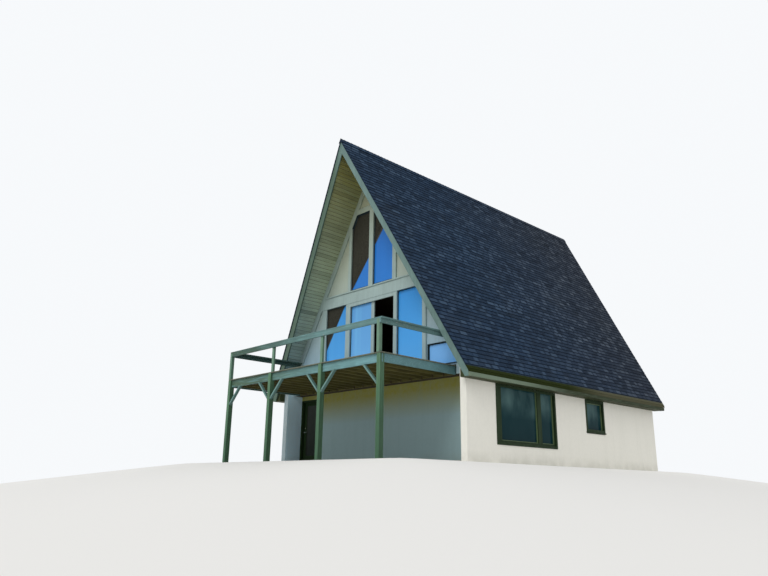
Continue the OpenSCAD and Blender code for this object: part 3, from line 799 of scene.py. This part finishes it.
def makeSoffits(c):
    # Boards side by side down each slope under the roof. A section with cut edges and a groove along its
    # middle is carried along Y from the start to the end of each board.
    rng = np.random.default_rng(c["seed"])
    mid = house["roof"] + c["thick"] / 2
    apex = house["ridge"] - mid / cosA
    n = int((apex - c["lowest"]) / sinA / c["pitch"])
    run = (np.arange(n) + 0.5) * c["pitch"]
    x, z = run * cosA, apex - run * sinA
    gable = z > house["floor"]
    closing = x > house["wallX"] - c["overWall"]
    front = np.where(gable, -c["trimFace"], np.where(closing, c["closingFront"], c["wallFront"]))
    rear = np.where(gable, house["length"] + c["trimFace"],
                    np.where(closing, c["closingRear"], house["length"] + c["wallGap"]))
    ends = [(frontRake(z) + c["rakeBack"], front), (rear, rearRake(z) - c["rakeBack"])]
    w, t, g, b = (c["pitch"] - c["gap"]) / 2, c["thick"] / 2, c["groove"], c["bead"]
    shape = np.array([(-w, -t), (w, -t), (w, t - g), (w - g, t), (b, t),
                      (0.0, t - b), (-b, t), (-w + g, t), (-w, t - g)])
    k = len(shape)
    i = np.arange(k)
    j = (i + 1) % k
    for name, side in (("rightSoffit", 1), ("leftSoffit", -1)):
        start = np.concatenate([np.stack([side * x, a, z], -1) for a, _ in ends])
        end = np.concatenate([np.stack([side * x, b, z], -1) for _, b in ends])
        keep = end[:, 1] - start[:, 1] > c["shortest"]
        s, e = start[keep], end[keep]
        down, under = np.array([side * cosA, 0, -sinA]), np.array([-side * sinA, 0, -cosA])
        ring = shape[:, :1] * down + shape[:, 1:] * under
        v = np.stack([s[:, None] + ring, e[:, None] + ring], 1).reshape(-1, 3)
        faces = [numbered(len(s), 2 * k, np.stack([i, j, k + j, k + i], -1)),
                 numbered(len(s), 2 * k, np.stack([i[::-1], k + i]))]
        own = rng.normal(0.5, 0.16, len(s)).clip(0, 1)
        tones = np.concatenate([np.repeat(own, k), np.repeat(own, 2)])
        obj = buildMesh(name, v, faces, soffitCream, tone=tones)


makeSoffits(soffitSet)
print("cabin: roof")

# Deck boards, one by one, with their screws over the joists and the side rims
deckSet = {"count": 19, "gap": 0.006, "thick": 0.028, "screw": 0.0045, "screwHigh": 0.0012, "sunk": 0.0005,
           "pair": 0.04, "sideRim": 3.37}
joistX = -3.01 + 0.4 * np.arange(16)


def makeDeck(c):
    # Boards of equal width from the rim back to the gable, and two screws where each one crosses a joist or a
    # side rim.
    n = c["count"]
    pitch = house["deckDepth"] / n
    y = -house["deckDepth"] + (np.arange(n) + 0.5) * pitch
    z = house["deckTop"] - c["thick"] / 2
    start = np.stack([np.full(n, -house["deckLeft"]), y, np.full(n, z)], -1)
    end = start + (house["deckLeft"] + house["deckRight"], 0, 0)
    obj = makeBars("deckBoards", deckWood, "bare_wood", start, end, (0, 1, 0), pitch - c["gap"], c["thick"])
    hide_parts("deck_boards")
    x = np.concatenate([[-c["sideRim"]], joistX, [c["sideRim"]]])
    rows = np.concatenate([y - c["pair"], y + c["pair"]])
    spots = np.stack(np.meshgrid(x, rows, [house["deckTop"] - c["sunk"]], indexing="ij"), -1).reshape(-1, 3)
    makeHeads("deckScrews", zincMetal, "lever_metal", spots, (0, 0, 1), c["screw"], c["screwHigh"],
              sides=8, rings=2)


makeDeck(deckSet)

# Metal shoes at both ends of every joist: two cheeks and a seat. ledger and rim are the Y of the faces that
# the joists meet.
hangerSet = {"thick": 0.003, "high": 0.15, "long": 0.06, "joistHalf": 0.022, "gap": 0.0005, "seatDrop": 0.002,
             "ledger": -0.042, "rim": -2.598}


def makeHangers(c):
    starts, ends, sides = [], [], []
    low = house["rimLow"]
    cheek = c["joistHalf"] + c["thick"] / 2 + c["gap"]
    seat = c["joistHalf"] + c["thick"] + c["gap"]
    for y in (c["ledger"] - c["long"] / 2, c["rim"] + c["long"] / 2):
        for x, z, reach, side in ((joistX - cheek, low - c["thick"], (0, 0, c["high"]), (1.0, 0, 0)),
                                  (joistX + cheek, low - c["thick"], (0, 0, c["high"]), (1.0, 0, 0)),
                                  (joistX - seat, low - c["seatDrop"], (2 * seat, 0, 0), (0, 0, 1.0))):
            start = np.stack([x, np.full(len(x), y), np.full(len(x), z)], -1)
            starts.append(start)
            ends.append(start + reach)
            sides.append(np.tile(side, (len(x), 1)))
    makeBars("joistHangers", dullSteel, "lever_metal", np.concatenate(starts), np.concatenate(ends),
             np.concatenate(sides), c["thick"], c["long"], cut=0.0008)


makeHangers(hangerSet)

# Round bolt heads at both ends of each knee brace. ends are (distance from the post's side, height).
boltSet = {"posts": (-3.370, -1.210, 1.080, 3.320), "postHalf": 0.0625, "face": -2.690, "sunk": 0.0005,
           "ends": ((0.035, 1.757), (0.465, 2.187)), "radius": 0.011, "height": 0.0065}


def makeBolts(c):
    posts, spots = c["posts"], []
    for x, side in [(x, 1) for x in posts[:3]] + [(x, -1) for x in posts[1:]]:
        spots += [(x + side * (c["postHalf"] + away), c["face"] + c["sunk"], z) for away, z in c["ends"]]
    makeHeads("braceBolts", dullSteel, "lever_metal", spots, (0, -1, 0), c["radius"], c["height"])


makeBolts(boltSet)
print("cabin: deck")

# Openings of the gable as (x, z), and dark stops that line them, painted shade in the recesses. Each profile
# is (inset, depth).
upperOpening = [(0.085, 5.351), (0.980, 5.351), (0.980, 7.390), (0.717, 7.870), (0.085, 7.870)]
leftOpening, rightOpening = rectangle(-2.141, -1.115, 2.562, 4.948), rectangle(1.150, 2.212, 2.562, 4.948)
lowOpening = [(2.402, 2.541), (3.539, 2.541), (3.539, 2.775), (3.308, 3.159), (2.402, 3.159)]
openings = [upperOpening, flipped(upperOpening), leftOpening, rightOpening, lowOpening]
stopProfile = [(0.0005, -0.032), (0.009, -0.032), (0.012, -0.028), (0.012, 0.0095), (0.0005, 0.0095)]
makeRings("gableStops", recessShade, openings, stopProfile, onFront)

# Light beads, and a dark gasket in front of the patio glass, painted shade at its edge
patioLight = rectangle(-0.945, 0.032, 2.685, 4.840)
beadProfile = [(-0.001, 0.0135), (0.005, 0.0125), (0.012, 0.0150), (0.014, 0.0265), (-0.001, 0.0265)]
makeRings("patioBeads", trimPale, [patioLight], beadProfile, onFront)
gasketProfile = [(0.014, 0.0235), (0.020, 0.0238), (0.021, 0.0268), (0.014, 0.0268)]
makeRings("patioGasket", recessShade, [patioLight], gasketProfile, onFront)

# Dark beads in front of the other panes, painted shade round the glass
upperLight = [(0.105, 5.371), (0.960, 5.371), (0.960, 7.380), (0.705, 7.850), (0.105, 7.850)]
lowLight = [(2.422, 2.560), (3.520, 2.560), (3.520, 2.765), (3.296, 3.140), (2.422, 3.140)]
leftLight, rightLight = rectangle(-2.121, -1.135, 2.600, 4.930), rectangle(1.190, 2.165, 2.600, 4.930)
lights = [upperLight, flipped(upperLight), leftLight, rightLight, lowLight]
paneBead = [(-0.0005, 0.0130), (0.010, 0.0130), (0.013, 0.0170), (0.013, 0.0295), (-0.0005, 0.0295)]
makeRings("paneBeads", recessShade, lights, paneBead, onFront)

# Two rails of the patio door's floor track
trackSet = {"left": -0.979, "right": 1.041, "rows": (0.035, 0.085), "z": 2.5375, "wide": 0.010, "high": 0.006}
trackStart = [(trackSet["left"], y, trackSet["z"]) for y in trackSet["rows"]]
trackEnd = [(trackSet["right"], y, trackSet["z"]) for y in trackSet["rows"]]
makeBars("patioTrack", zincMetal, "lever_metal", trackStart, trackEnd, (0, 1, 0),
         trackSet["wide"], trackSet["high"], cut=0.0015)

# Drip caps over the belt and over the upper windows, as (height that sets their length, Z, Y, width). At that
# height their ends are endDepth under the roof's outer plane.
dripSet = {"caps": ((5.33, 5.329, -0.038, 0.072), (8.04, 8.044, -0.028, 0.050)), "high": 0.008,
           "endDepth": 0.347}
dripEnd = [(roofX(at, dripSet["endDepth"]), y, z) for at, z, y, wide in dripSet["caps"]]
dripStart = [(-x, y, z) for x, y, z in dripEnd]
makeBars("dripCaps", trimPale, "white_trim", dripStart, dripEnd, (0, 1, 0),
         [cap[-1] for cap in dripSet["caps"]], dripSet["high"], cut=0.002)
print("cabin: gable")

# Sashes and casings of the side windows, as (y, z) on the right wall
wideLights = [rectangle(1.200, 2.845, 0.600, 2.032), rectangle(3.030, 3.640, 0.600, 2.032)]
smallLight = [rectangle(5.470, 6.375, 1.123, 1.960)]
sashProfile = [(-0.0005, 0.045), (0.012, 0.047), (0.017, 0.052), (0.018, 0.0795), (-0.0005, 0.0795)]
makeRings("wideSashes", sashGreen, wideLights, sashProfile, onRight)
makeRings("smallSash", sashGreen, smallLight, sashProfile, onRight)
wideCase, smallCase = [rectangle(0.950, 3.730, 0.480, 2.057)], [rectangle(5.370, 6.450, 1.086, 2.057)]
casingProfile = [(0.0005, -0.012), (0.004, -0.016), (0.066, -0.016), (0.070, -0.012),
                 (0.070, 0.0195), (0.0005, 0.0195)]
makeRings("wideCasing", frameDark, wideCase, casingProfile, onRight)
makeRings("smallCasing", frameDark, smallCase, casingProfile, onRight)

# Ground door: moulding round its glass, threshold, lock
doorSet = {"light": (-3.565, -2.822, 0.310, 1.950), "sillFrom": (-3.681, 0.400, 0.0845),
           "sillTo": (-2.706, 0.400, 0.0845), "sillDeep": 0.100, "sillHigh": 0.008,
           "lock": (-3.619, 0.4348, 1.215), "lockRadius": 0.017, "lockHeight": 0.009}
mouldProfile = [(-0.030, 0.4345), (-0.022, 0.4300), (-0.006, 0.4285), (0.006, 0.4340),
                (0.012, 0.4420), (0.012, 0.4515), (-0.0005, 0.4515), (-0.0005, 0.4346)]
makeRings("doorMoulding", frameDark, [rectangle(*doorSet["light"])], mouldProfile, onFront,
          body="door")
makeBars("doorThreshold", zincMetal, "lever_metal", doorSet["sillFrom"], doorSet["sillTo"], (0, 1, 0),
         doorSet["sillDeep"], doorSet["sillHigh"], cut=0.003)
makeHeads("doorLock", leverMetal, "lever_metal", doorSet["lock"], (0, -1, 0), doorSet["lockRadius"],
          doorSet["lockHeight"], body="door", sides=20, rings=5)
print("cabin: openings")

# Softened edges: doubles merged, flat faces joined, then a small bevel, whose width each node has in metres
edgeSet = {
    "deck_posts": 0.006, "knee_braces": 0.004, "rail_posts": 0.005, "rail_boards": 0.004, "rail_caps": 0.006,
    "deck_rim": 0.004, "deck_joists": 0.003, "front_rake_boards": 0.004, "rear_rake_boards": 0.004,
    "eave_boards": 0.004, "gable_trim": 0.003, "door_frame": 0.003, "ground_door": 0.003,
    "side_window_frame": 0.004, "small_window_frame": 0.003, "patio_door_frame": 0.003,
    "fixed_door_panel": 0.003, "sliding_door_panel": 0.003, "front_window_frame": 0.002,
    "upper_window_frame": 0.002, "left_wall": 0.008, "right_wall": 0.008,
}
edgeTools = {"merge": 0.00005, "flatBelow": 0.5, "sharpAbove": 30}  # metres, then degrees
for name, size in edgeSet.items():
    obj = nodes[name]
    weld = obj.modifiers.new("merge", "WELD")
    weld.merge_threshold = edgeTools["merge"]
    flat = obj.modifiers.new("flat", "DECIMATE")
    flat.decimate_type = "DISSOLVE"
    flat.angle_limit = math.radians(edgeTools["flatBelow"])
    bevel = obj.modifiers.new("edge", "BEVEL")
    bevel.width = size
    bevel.segments = 2
    bevel.limit_method = "ANGLE"
    bevel.angle_limit = math.radians(edgeTools["sharpAbove"])
print("cabin: edges")

# Floor: flat under the house, then falling away on every side as the site does
ground = {"fall": 0.14, "soft": 0.5, "under": 0.003, "half": (4.3, 6.5), "middle": (0.0, 3.6),
          "spokes": 180, "rings": 60, "first": 0.4, "reach": 150.0, "color": (0.80, 0.79, 0.76)}


def makeGround(g):
    # Spokes from the middle, with rings ever wider apart outside the house's outline. Out there the height is
    # minus fall times (root of (distance squared + soft squared) - soft).
    turn = np.arange(g["spokes"]) / g["spokes"] * 2 * math.pi
    far = np.concatenate([[0.0], np.geomspace(g["first"], g["reach"], g["rings"])])
    half, middle = np.array(g["half"]), np.array(g["middle"])
    d = np.stack([np.cos(turn), np.sin(turn)], -1)
    inside = (half / np.maximum(abs(d), 1e-6)).min(-1)
    r = inside[None, :] + far[:, None]
    xy = middle + r[:, :, None] * d[None]
    out = np.maximum(np.abs(xy - middle) - half, 0)
    gap = np.hypot(out[..., 0], out[..., 1])
    z = -g["under"] - g["fall"] * (np.sqrt(gap ** 2 + g["soft"] ** 2) - g["soft"])
    verts = np.concatenate([[[*middle, -g["under"]]], np.dstack([xy, z]).reshape(-1, 3)])
    n, k = len(turn), len(far)
    i = np.arange(n)
    j = (i + 1) % n
    fan = np.stack([np.zeros(n, int), 1 + i, 1 + j], -1)
    row = np.arange(k - 1)[:, None] * n + 1
    quads = np.stack([row + i, row + n + i, row + n + j, row + j], -1).reshape(-1, 4)
    mesh = bpy.data.meshes.new("paleFloor")
    mesh.from_pydata(verts.tolist(), [], fan.tolist() + quads.tolist())
    mesh.polygons.foreach_set("use_smooth", np.full(len(mesh.polygons), True))
    p = Paint("paleFloor", g["color"], 0.95, spec=0.1)
    mesh.materials.append(p.mat)
    obj = bpy.data.objects.new("paleFloor", mesh)
    bpy.context.collection.objects.link(obj)


makeGround(ground)

print("cabin: done")
